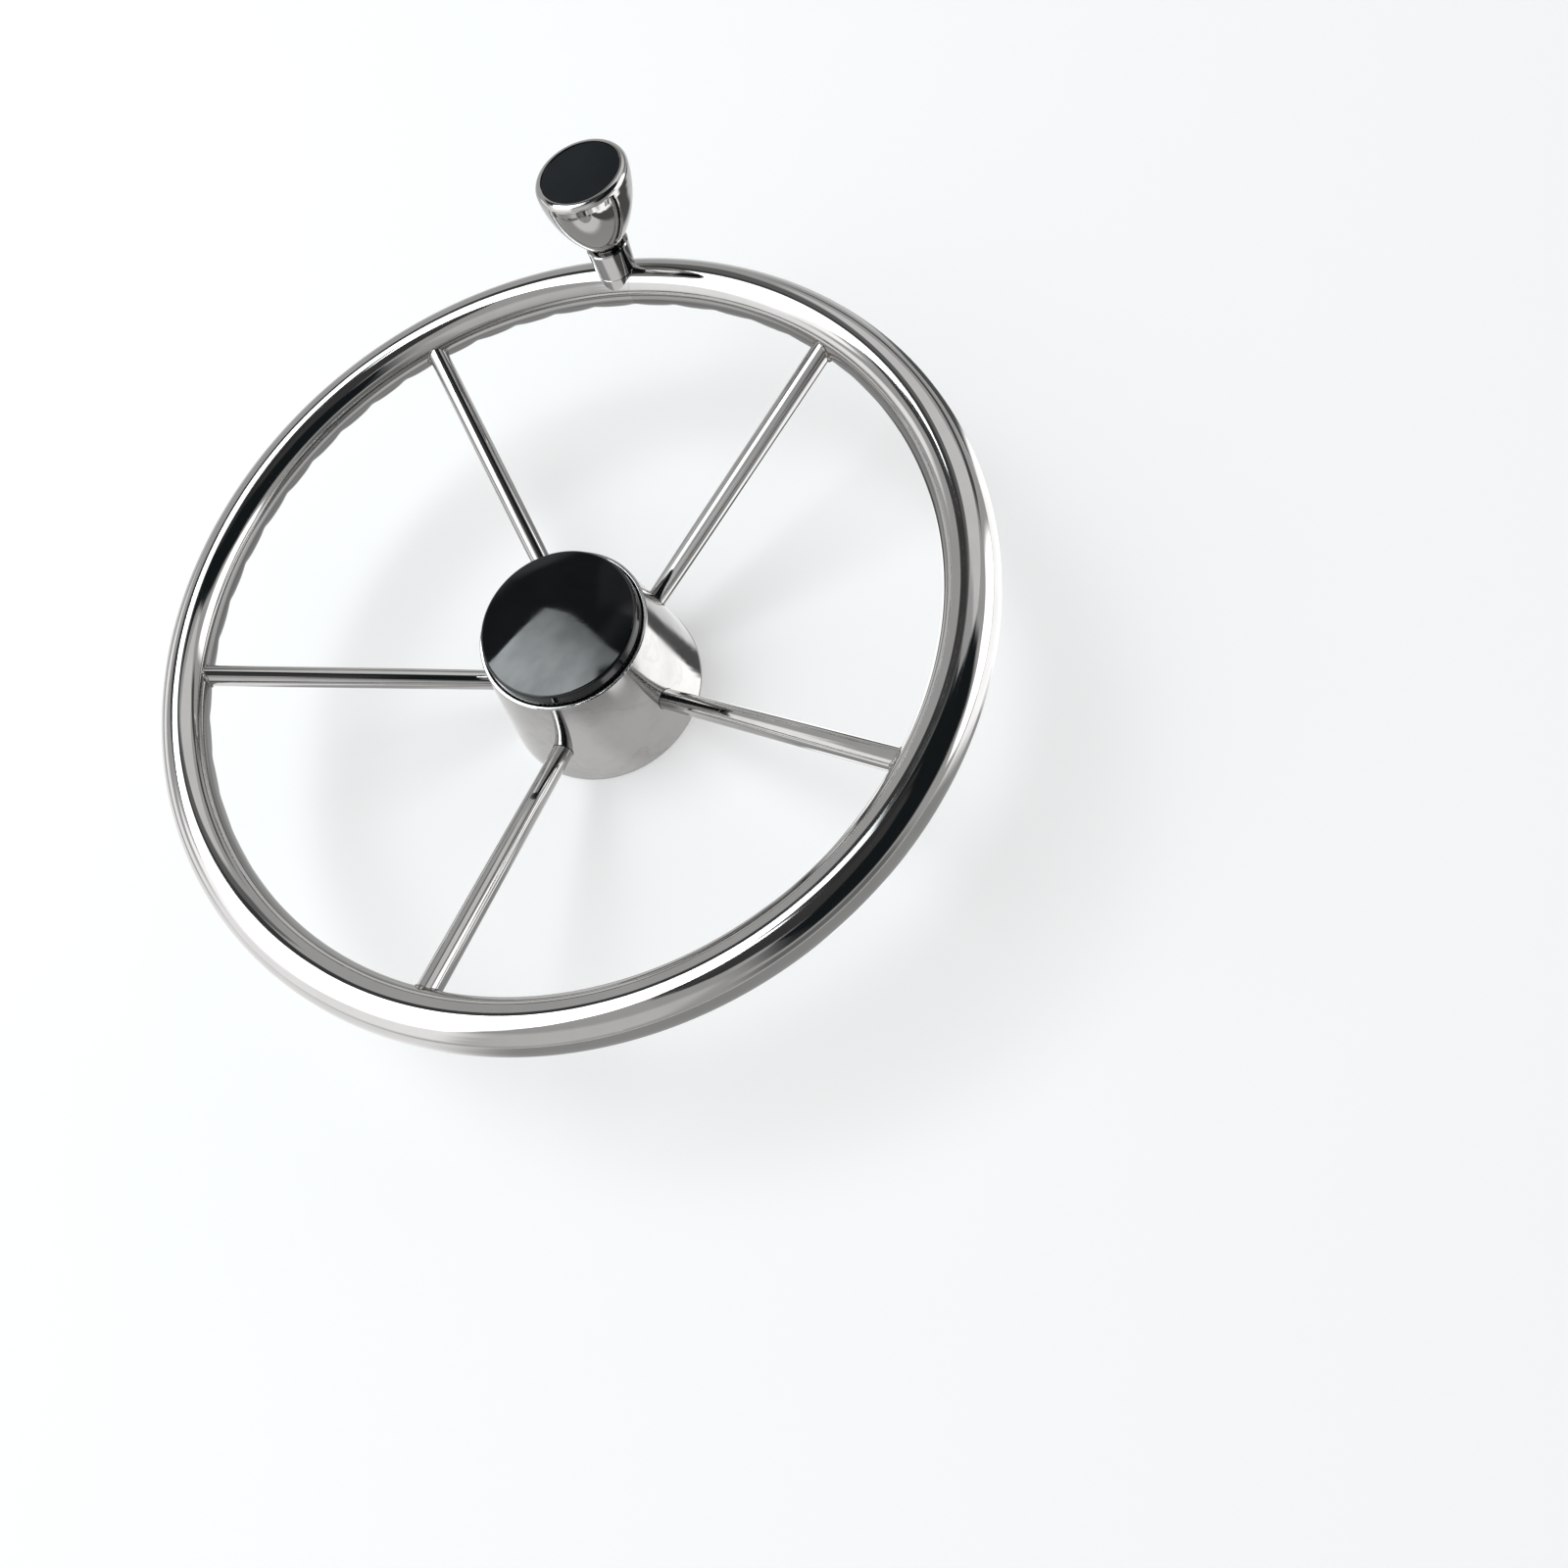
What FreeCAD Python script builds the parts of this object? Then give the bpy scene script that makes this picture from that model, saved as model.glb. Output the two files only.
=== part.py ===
import FreeCAD, Part
import math
import os

# Stainless boat steering wheel with five spokes, a cast hub, a push-in centre cap
# and a turning knob. Millimetres. The shaft axis is Z, the driver's side is +Z.
# The origin is on the shaft axis at the rear face of the hub's boss.

# Rim, a round tube bent into a ring, with finger grips pressed into its rear
RIM_OUTER_D = 394.0
RIM_TUBE_D = 22.2
RIM_TUBE_WALL = 1.5
RIM_PLANE_Z = 86.5
GRIP_COUNT = 50
GRIP_DEPTH = 1.3
GRIP_GROOVE_R = 5.0
GRIP_SWEEP_R = 12.6
GRIP_FACING_DEG = 262.0

# Spokes, straight tubes that rise from the hub to the rim
SPOKE_COUNT = 5
SPOKE_D = 10.4
SPOKE_WALL = 1.2
SPOKE_RAKE_DEG = 26.0
SPOKE_HUB_Z = 22.3
SPIGOT_LENGTH = 12.0
SPIGOT_CLEARANCE = 0.1

# Hub casting: skirt, web, arms and bored boss in one piece
SKIRT_REAR_D = 107.2
SKIRT_LIP_D = 84.8
SKIRT_REAR_Z = -6.8
SKIRT_LIP_Z = 60.0
SKIRT_WALL = 2.6
LIP_WALL = 2.0
LIP_ROUND = 0.7
SKIRT_REAR_ROUND = 0.8
CAP_SEAT_DEPTH = 3.0
CAP_SEAT_WIDTH = 1.3
CAP_SEAT_SHOULDER = 7.0
WEB_TOP_Z = 21.2
WEB_THICKNESS = 2.6
WEB_HOLE_D = 54.8
WEB_HOLE_CHAMFER = 0.7
BOSS_D = 36.0
BOSS_LENGTH = 30.0
BOSS_CHAMFER = 0.8
ARM_D = 14.6
ARM_SINK = 1.0

# Shaft bore: a short straight lead-in, then the usual taper of one in twelve
SHAFT_D = 19.05
SHAFT_CLEARANCE = 0.1
LEAD_IN_LENGTH = 8.0
TAPER_RATIO = 12.0
BORE_FRONT_CHAMFER = 1.3
KEYWAY_WIDTH = 4.8
KEYWAY_DEPTH = 2.6

# Centre cap, a moulded plug with a domed face and spring fingers
CAP_CLEARANCE = 0.25
CAP_EDGE_INSET = 1.15
CAP_EDGE_RISE = 6.4
CAP_DOME_RISE = 2.4
CAP_EDGE_ROUND = 1.6
CAP_WALL = 2.4
CAP_SKIRT_DEPTH = 9.0
CAP_SKIRT_CLEARANCE = 0.3
CAP_FINGER_COUNT = 8
CAP_SLOT_WIDTH = 3.0

# Turning knob, carried by a post that is coped to the rim and welded
KNOB_SIDE_DEG = 90.0
KNOB_OFFSET_DEG = 2.3
POST_FOOT_D = 20.0
POST_TOP_D = 21.4
POST_RING_Z = 10.9
POST_TOP_Z = 26.0
POST_RING_DEPTH = 0.35
POST_TOP_CHAMFER = 0.6
BOLT_THREAD_D = 8.0
BOLT_THREAD_LENGTH = 12.0
BOLT_HOLE_RUNOUT = 1.0
BOLT_SHOULDER_D = 9.0
BOLT_HEAD_D = 15.0
BOLT_HEAD_HEIGHT = 5.0
BOLT_SOCKET_AF = 6.0
BOLT_SOCKET_DEPTH = 3.0
WASHER_THICKNESS = 1.2
WASHER_D = 14.0
UPPER_WASHER_D = 17.0
RUNNING_GAP = 0.1
BUSH_CLEARANCE = 0.05
BUSH_WALL = 1.8
KNOB_HEAD_D = 45.0
KNOB_FOOT_WALL = 2.0
KNOB_WAIST_D = 34.0
KNOB_WAIST_RISE = 13.0
KNOB_WIDEST_RISE = 33.5
KNOB_HEIGHT = 38.7
KNOB_SHOULDER_ROUND = 2.8
KNOB_FLOOR_RISE = 22.0
INSERT_RIM_WIDTH = 3.3
INSERT_LEDGE = 2.9
INSERT_THICKNESS = 2.2
INSERT_RECESS = 0.4
INSERT_CLEARANCE = 0.15
INSERT_EDGE_ROUND = 0.5

# Values worked out from the sizes above
RIM_R = (RIM_OUTER_D - RIM_TUBE_D) / 2.0
TUBE_R = RIM_TUBE_D / 2.0
SPOKE_R = SPOKE_D / 2.0
SPOKE_BORE_R = SPOKE_R - SPOKE_WALL
SPOKE_RAKE = math.radians(SPOKE_RAKE_DEG)
SPOKE_PITCH_DEG = 360.0 / SPOKE_COUNT
SKIRT_SLOPE = (SKIRT_REAR_D - SKIRT_LIP_D) / 2.0 / (SKIRT_LIP_Z - SKIRT_REAR_Z)
BORE_R = (SHAFT_D + SHAFT_CLEARANCE) / 2.0
BORE_FRONT_R = BORE_R - (BOSS_LENGTH - BORE_FRONT_CHAMFER - LEAD_IN_LENGTH) / TAPER_RATIO / 2.0
CAP_SEAT_Z = SKIRT_LIP_Z - CAP_SEAT_DEPTH
CAP_SEAT_R = SKIRT_LIP_D / 2.0 - LIP_WALL
CAP_MOUTH_R = CAP_SEAT_R - CAP_SEAT_WIDTH
KNOB_ANGLE_DEG = KNOB_SIDE_DEG + KNOB_OFFSET_DEG
KNOB_X = RIM_R * math.cos(math.radians(KNOB_ANGLE_DEG))
KNOB_Y = RIM_R * math.sin(math.radians(KNOB_ANGLE_DEG))
POST_TOP = RIM_PLANE_Z + POST_TOP_Z
KNOB_FOOT = POST_TOP + WASHER_THICKNESS + RUNNING_GAP
KNOB_FLOOR = KNOB_FOOT + KNOB_FLOOR_RISE
KNOB_TOP = KNOB_FOOT + KNOB_HEIGHT
BUSH_BORE_R = BOLT_SHOULDER_D / 2.0 + BUSH_CLEARANCE
BUSH_R = BUSH_BORE_R + BUSH_WALL
INSERT_R = KNOB_HEAD_D / 2.0 - INSERT_RIM_WIDTH
INSERT_SEAT = KNOB_TOP - INSERT_RECESS - INSERT_THICKNESS
BOLT_HEAD_Z = KNOB_FLOOR + 2.0 * RUNNING_GAP + WASHER_THICKNESS

ORIGIN = FreeCAD.Vector(0, 0, 0)
UP = FreeCAD.Vector(0, 0, 1)


def skirt_radius(z):
    """Outer radius of the hub's conical skirt at height z."""
    return SKIRT_LIP_D / 2.0 + (SKIRT_LIP_Z - z) * SKIRT_SLOPE


def turned(points):
    """Solid turned about Z from a closed outline of radius and height pairs."""
    corners = [FreeCAD.Vector(r, 0, z) for r, z in points]
    outline = Part.makePolygon(corners + [corners[0]])
    return Part.Face(outline).revolve(ORIGIN, UP, 360)


def turned_edges(edges):
    """Solid turned about Z from a closed chain of edges in the XZ plane."""
    return Part.Face(Part.Wire(edges)).revolve(ORIGIN, UP, 360)


def line(a, b):
    """Straight edge in the XZ plane between two pairs of radius and height."""
    return Part.LineSegment(FreeCAD.Vector(a[0], 0, a[1]), FreeCAD.Vector(b[0], 0, b[1])).toShape()


def arc(a, b, c):
    """Arc edge in the XZ plane through three pairs of radius and height."""
    return Part.Arc(*[FreeCAD.Vector(r, 0, z) for r, z in (a, b, c)]).toShape()


def rounded(shape, radius, wanted):
    """Shape with the edges that pass the test rounded."""
    edges = [edge for edge in shape.Edges if wanted(edge)]
    return shape.makeFillet(radius, edges)


def dome(radius, low_z, rise):
    """Arc of a sphere centred on the axis, from an edge up to the middle of a dome."""
    sphere_r = (radius ** 2 + rise ** 2) / (2.0 * rise)
    half = math.asin(radius / sphere_r) / 2.0
    halfway = (sphere_r * math.sin(half), low_z + rise - sphere_r * (1.0 - math.cos(half)))
    return arc((radius, low_z), halfway, (0, low_z + rise))


def circle_edge(radius, z):
    """Test for a full circle about Z with this radius and height."""
    def found(edge):
        box = edge.BoundBox
        flat = abs(box.ZMin - z) < 1e-4 and abs(box.ZMax - z) < 1e-4
        return flat and abs(box.XMax - radius) < 1e-3
    return found


def about_axis(shape, angle_deg):
    """Copy of a shape turned about the shaft axis."""
    copy = shape.copy()
    copy.rotate(ORIGIN, UP, angle_deg)
    return copy


def at_knob(shape):
    """Shape modelled on the Z axis, moved to the knob's axis."""
    shape.rotate(ORIGIN, UP, KNOB_ANGLE_DEG)
    shape.translate(FreeCAD.Vector(KNOB_X, KNOB_Y, 0))
    return shape


def grip_cutters(inset):
    """Rings that press the finger grips into the rear of a tube that is smaller by inset.

    The mouth of each ring is wider than the tube and set off from it, so the groove is
    deepest where it faces and runs out towards the driver's side.
    """
    shift = GRIP_SWEEP_R - TUBE_R + GRIP_DEPTH
    facing = math.radians(GRIP_FACING_DEG)
    centre = FreeCAD.Vector(
        RIM_R - shift * math.cos(facing), 0, RIM_PLANE_Z - shift * math.sin(facing)
    )
    ring = Part.makeTorus(
        GRIP_SWEEP_R + GRIP_GROOVE_R, GRIP_GROOVE_R + inset, centre, FreeCAD.Vector(0, 1, 0)
    )
    pitch_deg = 360.0 / GRIP_COUNT
    return [about_axis(ring, KNOB_SIDE_DEG + pitch_deg * i) for i in range(GRIP_COUNT)]


def gripped_ring(inset):
    """Solid ring of the rim's outside, or of its hollow when inset is the wall."""
    ring = Part.makeTorus(RIM_R, TUBE_R - inset, FreeCAD.Vector(0, 0, RIM_PLANE_Z), UP)
    return ring.cut(grip_cutters(inset))


def make_rim_tube(outside):
    """Polished rim tube with its hollow."""
    return outside.cut(gripped_ring(RIM_TUBE_WALL))


def hub_outside():
    """Solid with the outer form of the hub's skirt, used to shape the spoke ends."""
    return turned([
        (0, SKIRT_REAR_Z),
        (SKIRT_REAR_D / 2.0, SKIRT_REAR_Z),
        (SKIRT_LIP_D / 2.0, SKIRT_LIP_Z),
        (0, SKIRT_LIP_Z),
    ])


def hub_shell():
    """Skirt, cap seat and flat web as one turned solid."""
    hole_r = WEB_HOLE_D / 2.0
    web_low = WEB_TOP_Z - WEB_THICKNESS
    shoulder_z = CAP_SEAT_Z - CAP_SEAT_SHOULDER
    shell = turned([
        (SKIRT_REAR_D / 2.0, SKIRT_REAR_Z),
        (SKIRT_LIP_D / 2.0, SKIRT_LIP_Z),
        (CAP_SEAT_R, SKIRT_LIP_Z),
        (CAP_SEAT_R, CAP_SEAT_Z),
        (CAP_MOUTH_R, CAP_SEAT_Z),
        (skirt_radius(shoulder_z) - SKIRT_WALL, shoulder_z),
        (skirt_radius(WEB_TOP_Z) - SKIRT_WALL, WEB_TOP_Z),
        (hole_r + WEB_HOLE_CHAMFER, WEB_TOP_Z),
        (hole_r, WEB_TOP_Z - WEB_HOLE_CHAMFER),
        (hole_r, web_low),
        (skirt_radius(web_low) - SKIRT_WALL, web_low),
        (skirt_radius(SKIRT_REAR_Z) - SKIRT_WALL, SKIRT_REAR_Z),
    ])
    shell = rounded(shell, LIP_ROUND, circle_edge(SKIRT_LIP_D / 2.0, SKIRT_LIP_Z))
    shell = rounded(shell, LIP_ROUND, circle_edge(CAP_SEAT_R, SKIRT_LIP_Z))
    return rounded(shell, SKIRT_REAR_ROUND, circle_edge(SKIRT_REAR_D / 2.0, SKIRT_REAR_Z))


def spoke_start():
    """Radius at which a spoke's centre line crosses the skirt."""
    return skirt_radius(SPOKE_HUB_Z)


def spoke_point(distance):
    """Point on the centre line of the first spoke, before it is turned to its place."""
    return FreeCAD.Vector(
        spoke_start() + distance * math.cos(SPOKE_RAKE),
        0,
        SPOKE_HUB_Z + distance * math.sin(SPOKE_RAKE),
    )


def spoke_direction():
    """Direction of the first spoke, from the hub to the rim."""
    return FreeCAD.Vector(math.cos(SPOKE_RAKE), 0, math.sin(SPOKE_RAKE))


def spoke_angle_deg(index):
    """Place of a spoke about the shaft axis; the knob is midway between two of them."""
    return KNOB_SIDE_DEG + SPOKE_PITCH_DEG * (index + 0.5)


def hub_arm():
    """Arm from the boss to the skirt's wall, and the spigot that the spoke slips over."""
    start = BOSS_D / 2.0 - ARM_SINK
    reach = skirt_radius(SPOKE_HUB_Z + ARM_D / 2.0) - ARM_SINK - start
    foot = FreeCAD.Vector(start, 0, SPOKE_HUB_Z)
    arm = Part.makeCylinder(ARM_D / 2.0, reach, foot, FreeCAD.Vector(1, 0, 0))
    spigot_r = SPOKE_BORE_R - SPIGOT_CLEARANCE
    sink = SPOKE_D
    spigot = Part.makeCylinder(spigot_r, SPIGOT_LENGTH + sink, spoke_point(-sink), spoke_direction())
    return arm.fuse(spigot)


def hub_boss():
    """Boss with its straight lead-in, its taper and its keyway on the side of the knob."""
    boss_r = BOSS_D / 2.0
    boss = turned([
        (BORE_R, 0),
        (boss_r - BOSS_CHAMFER, 0),
        (boss_r, BOSS_CHAMFER),
        (boss_r, BOSS_LENGTH - BOSS_CHAMFER),
        (boss_r - BOSS_CHAMFER, BOSS_LENGTH),
        (BORE_FRONT_R + BORE_FRONT_CHAMFER, BOSS_LENGTH),
        (BORE_FRONT_R, BOSS_LENGTH - BORE_FRONT_CHAMFER),
        (BORE_R, LEAD_IN_LENGTH),
    ])
    keyway = Part.makeBox(
        KEYWAY_WIDTH, BORE_R + KEYWAY_DEPTH, BOSS_LENGTH, FreeCAD.Vector(-KEYWAY_WIDTH / 2.0, 0, 0)
    )
    return boss.cut(keyway)


def make_hub_casting():
    """One casting: skirt, web, arms with spigots, and the bored boss."""
    arm = hub_arm()
    arms = [about_axis(arm, spoke_angle_deg(i)) for i in range(SPOKE_COUNT)]
    return hub_shell().fuse(arms + [hub_boss()])


def make_spoke(index, rim_outside):
    """Spoke tube, cut to the skirt at one end and coped to the rim at the other."""
    run = (RIM_R - spoke_start()) / math.cos(SPOKE_RAKE)
    back = SPOKE_D
    length = run + back
    tube = Part.makeCylinder(SPOKE_R, length, spoke_point(-back), spoke_direction())
    hollow = Part.makeCylinder(SPOKE_BORE_R, length, spoke_point(-back), spoke_direction())
    tube = about_axis(tube.cut(hollow), spoke_angle_deg(index))
    tube = tube.cut(hub_outside()).cut(rim_outside)
    return max(tube.Solids, key=lambda solid: solid.Volume)


def make_centre_cap():
    """Moulded cap: domed face, edge, seat flange and slotted skirt of spring fingers."""
    flange_r = CAP_SEAT_R - CAP_CLEARANCE
    edge_r = flange_r - CAP_EDGE_INSET
    edge_z = SKIRT_LIP_Z + CAP_EDGE_RISE
    top_z = edge_z + CAP_DOME_RISE
    skirt_r = CAP_MOUTH_R - CAP_SKIRT_CLEARANCE
    inner_r = skirt_r - CAP_WALL
    skirt_low = CAP_SEAT_Z - CAP_SKIRT_DEPTH
    ceiling = top_z - CAP_WALL
    ceiling_edge = ceiling - CAP_DOME_RISE
    under = dome(inner_r, ceiling_edge, CAP_DOME_RISE)
    cap = turned_edges([
        line((skirt_r, skirt_low), (skirt_r, CAP_SEAT_Z)),
        line((skirt_r, CAP_SEAT_Z), (flange_r, CAP_SEAT_Z)),
        line((flange_r, CAP_SEAT_Z), (flange_r, SKIRT_LIP_Z)),
        line((flange_r, SKIRT_LIP_Z), (edge_r, edge_z)),
        dome(edge_r, edge_z, CAP_DOME_RISE),
        line((0, top_z), (0, ceiling)),
        under,
        line((inner_r, ceiling_edge), (inner_r, skirt_low)),
        line((inner_r, skirt_low), (skirt_r, skirt_low)),
    ])
    cap = rounded(cap, CAP_EDGE_ROUND, circle_edge(edge_r, edge_z))
    slot = Part.makeBox(
        CAP_SEAT_R, CAP_SLOT_WIDTH, CAP_SKIRT_DEPTH,
        FreeCAD.Vector(0, -CAP_SLOT_WIDTH / 2.0, skirt_low),
    )
    pitch_deg = 360.0 / CAP_FINGER_COUNT
    return cap.cut([about_axis(slot, pitch_deg * i) for i in range(CAP_FINGER_COUNT)])


def make_knob_post(rim_outside):
    """Knob post: coped foot, ring line, flared barrel and the thread for the bolt."""
    foot_r = POST_FOOT_D / 2.0
    ring_z = RIM_PLANE_Z + POST_RING_Z
    post = turned([
        (0, RIM_PLANE_Z),
        (foot_r, RIM_PLANE_Z),
        (foot_r, ring_z - POST_RING_DEPTH),
        (foot_r - POST_RING_DEPTH, ring_z),
        (foot_r, ring_z + POST_RING_DEPTH),
        (POST_TOP_D / 2.0, POST_TOP - POST_TOP_CHAMFER),
        (POST_TOP_D / 2.0 - POST_TOP_CHAMFER, POST_TOP),
        (0, POST_TOP),
    ])
    hole_depth = BOLT_THREAD_LENGTH + BOLT_HOLE_RUNOUT
    thread_hole = Part.makeCylinder(
        BOLT_THREAD_D / 2.0, hole_depth, FreeCAD.Vector(0, 0, POST_TOP - hole_depth)
    )
    return at_knob(post.cut(thread_hole)).cut(rim_outside)


def make_knob_bolt():
    """Shoulder bolt that screws into the post and carries the turning head."""
    thread = Part.makeCylinder(
        BOLT_THREAD_D / 2.0, BOLT_THREAD_LENGTH, FreeCAD.Vector(0, 0, POST_TOP - BOLT_THREAD_LENGTH)
    )
    shoulder = Part.makeCylinder(
        BOLT_SHOULDER_D / 2.0, BOLT_HEAD_Z - POST_TOP, FreeCAD.Vector(0, 0, POST_TOP)
    )
    head = Part.makeCylinder(BOLT_HEAD_D / 2.0, BOLT_HEAD_HEIGHT, FreeCAD.Vector(0, 0, BOLT_HEAD_Z))
    socket_z = BOLT_HEAD_Z + BOLT_HEAD_HEIGHT - BOLT_SOCKET_DEPTH
    corner_r = BOLT_SOCKET_AF / math.sqrt(3.0)
    corner = FreeCAD.Vector(corner_r, 0, socket_z)
    turns = [FreeCAD.Rotation(UP, 60 * i) for i in range(7)]
    outline = Part.makePolygon([turn.multVec(corner) for turn in turns])
    socket = Part.Face(outline).extrude(FreeCAD.Vector(0, 0, BOLT_SOCKET_DEPTH))
    return at_knob(thread.fuse([shoulder, head]).cut(socket).removeSplitter())


def make_washer(outer_d, z):
    """Plain washer round the bolt's shoulder."""
    disc = Part.makeCylinder(outer_d / 2.0, WASHER_THICKNESS, FreeCAD.Vector(0, 0, z))
    hole = Part.makeCylinder(BUSH_BORE_R, WASHER_THICKNESS, FreeCAD.Vector(0, 0, z))
    return at_knob(disc.cut(hole))


def make_knob_bush():
    """Plain bearing bush pressed into the knob head."""
    return at_knob(turned([
        (BUSH_BORE_R, KNOB_FOOT),
        (BUSH_R, KNOB_FOOT),
        (BUSH_R, KNOB_FLOOR),
        (BUSH_BORE_R, KNOB_FLOOR),
    ]))


def make_knob_head():
    """Goblet-shaped knob head, bored for the bush and hollow under the insert."""
    foot = (BUSH_R + KNOB_FOOT_WALL, KNOB_FOOT)
    waist = (KNOB_WAIST_D / 2.0, KNOB_FOOT + KNOB_WAIST_RISE)
    widest = (KNOB_HEAD_D / 2.0, KNOB_FOOT + KNOB_WIDEST_RISE)
    shoulder = (KNOB_HEAD_D / 2.0, KNOB_TOP)
    seat_r = INSERT_R + INSERT_CLEARANCE
    cavity_r = seat_r - INSERT_LEDGE
    head = turned_edges([
        arc(foot, waist, widest),
        line(widest, shoulder),
        line(shoulder, (seat_r, KNOB_TOP)),
        line((seat_r, KNOB_TOP), (seat_r, INSERT_SEAT)),
        line((seat_r, INSERT_SEAT), (cavity_r, INSERT_SEAT)),
        line((cavity_r, INSERT_SEAT), (cavity_r, KNOB_FLOOR)),
        line((cavity_r, KNOB_FLOOR), (BUSH_R, KNOB_FLOOR)),
        line((BUSH_R, KNOB_FLOOR), (BUSH_R, KNOB_FOOT)),
        line((BUSH_R, KNOB_FOOT), foot),
    ])
    head = rounded(head, KNOB_SHOULDER_ROUND, circle_edge(KNOB_HEAD_D / 2.0, KNOB_TOP))
    return at_knob(head)


def make_knob_insert():
    """Black disc set into the top of the knob head."""
    disc = Part.makeCylinder(INSERT_R, INSERT_THICKNESS, FreeCAD.Vector(0, 0, INSERT_SEAT))
    top = INSERT_SEAT + INSERT_THICKNESS
    return at_knob(rounded(disc, INSERT_EDGE_ROUND, circle_edge(INSERT_R, top)))


def main():
    """Builds every piece and writes one file for each."""
    os.makedirs("parts", exist_ok=True)
    rim_outside = gripped_ring(0.0)
    pieces = {"rim_tube": make_rim_tube(rim_outside)}
    for index in range(SPOKE_COUNT):
        pieces["spoke_%d" % (index + 1)] = make_spoke(index, rim_outside)
    pieces["hub_casting"] = make_hub_casting()
    pieces["centre_cap"] = make_centre_cap()
    pieces["knob_post"] = make_knob_post(rim_outside)
    pieces["knob_bolt"] = make_knob_bolt()
    pieces["knob_lower_washer"] = make_washer(WASHER_D, POST_TOP)
    pieces["knob_upper_washer"] = make_washer(UPPER_WASHER_D, BOLT_HEAD_Z - WASHER_THICKNESS)
    pieces["knob_bush"] = make_knob_bush()
    pieces["knob_head"] = make_knob_head()
    pieces["knob_insert"] = make_knob_insert()
    for name, shape in pieces.items():
        shape.exportStep("parts/%s.step" % name)
        print(name, len(shape.Solids), "solid", round(shape.Volume), "mm3", shape.isValid())


main()
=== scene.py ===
import bpy
import math
from mathutils import Matrix, Vector, noise


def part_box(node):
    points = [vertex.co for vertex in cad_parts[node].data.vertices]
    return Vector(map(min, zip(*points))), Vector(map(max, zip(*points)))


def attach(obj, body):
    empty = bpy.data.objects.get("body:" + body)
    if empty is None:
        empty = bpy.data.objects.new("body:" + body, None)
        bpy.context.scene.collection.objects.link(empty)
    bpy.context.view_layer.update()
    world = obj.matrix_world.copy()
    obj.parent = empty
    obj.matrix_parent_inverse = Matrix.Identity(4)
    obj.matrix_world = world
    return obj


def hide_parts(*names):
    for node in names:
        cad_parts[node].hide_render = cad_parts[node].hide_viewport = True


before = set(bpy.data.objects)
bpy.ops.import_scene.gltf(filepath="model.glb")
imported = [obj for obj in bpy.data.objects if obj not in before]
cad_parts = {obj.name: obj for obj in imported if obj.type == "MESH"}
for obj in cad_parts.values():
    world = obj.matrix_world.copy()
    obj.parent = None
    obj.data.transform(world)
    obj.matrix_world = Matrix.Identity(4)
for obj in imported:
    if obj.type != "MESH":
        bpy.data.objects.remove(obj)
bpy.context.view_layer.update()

# Stainless boat steering wheel. Metres, Z along the shaft towards the driver, and the
# knob on the +Y side of the rim. The pieces made here lie where the frame's nodes lie.

# Sizes read from the frame
RIM_LOW, RIM_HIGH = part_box("rim_tube")
TUBE_R = (RIM_HIGH.z - RIM_LOW.z) / 2.0
RIM_Z = (RIM_HIGH.z + RIM_LOW.z) / 2.0
RIM_R = (RIM_HIGH.x - RIM_LOW.x) / 2.0 - TUBE_R
FLOOR_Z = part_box("hub_casting")[0].z

# Finger grips on the rear of the rim
GRIP_COUNT = 50
GRIP_DEPTH = 0.0013
GRIP_FACING = math.radians(262.0)
GRIP_SPREAD = math.radians(66.0)
GRIP_SHARPNESS = 2.6
GRIP_CREASE = 0.10
GRIP_FULLNESS = 1.3
GRIP_STEPS = 26
RIM_SIDES = 60
RIM_SHARP_DEGREES = 60.0
KNOB_SIDE = math.radians(90.0)

# Hub: radius of the skirt at its front lip and its rear edge, the boss and its bore, and
# how deep the polished and the machined skins go
LIP_R = 0.0424
REAR_R = 0.0536
LIP_Z = 0.060
REAR_Z = -0.0068
BOSS_R = 0.018
BOSS_Z = 0.030
BORE_R = 0.0105
SKIN = 0.0012
FACE_SKIN = 0.0003
BOSS_REAR_SKIN = 0.0002

# Spokes
SPOKE_COUNT = 5
SPOKE_R = 0.0052
SPOKE_RAKE = math.radians(26.0)
SPOKE_HUB_R = 0.04872
SPOKE_HUB_Z = 0.0223

# Welds, the dark joint lines at the hub, which are also painted shadow of the groove there, and the
# distances along a spoke between which each lies
WELD_R = 0.00055
WELD_BLOB_R = 0.0012
WELD_BLOB_SPREAD = 0.07
WELD_BLOB_SHIFT = 7
WELD_FINE_LUMPS = 900.0
WELD_COARSE_LUMPS = 260.0
SEAM_SHADOW_R = 0.00022
BEAD_STEPS = 120
BEAD_SIDES = 10
BEAD_SHARP_DEGREES = 70.0
WELD_SEARCH = (0.10, 0.165)
SEAM_SHADOW_SEARCH = (-0.012, 0.02)

# Steel: its colours, the range of the noise in which its clouds form, the share of the
# roughness in and between them, and the height and density of its polishing lines
STEEL = (0.50, 0.495, 0.487)
CAST_GREY = (0.075, 0.075, 0.078)
BOSS_GREY = (0.30, 0.30, 0.30)
CLOUD_RANGE = (0.36, 0.66)
CLOUD_ROUGH, CLEAR_ROUGH = 1.7, 0.5
FINE_LINES = 0.0000025
BROAD_LINES = 0.000016
LINES_AROUND = 18.0
LINES_ALONG = 24.0
SPOKE_LINES = (18.0, 1500.0, 1500.0)
# Painted shade: the inner and rear side of the rim, which faces the floor, takes this share of the
# steel's colour; that side is also rougher and streaked, as less polished.
PAINTED_SHADE_SHARE = 0.62
DULL_ROUGHNESS = 0.05
DULL_AND_SHADED_FACING = math.radians(215.0)

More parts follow.
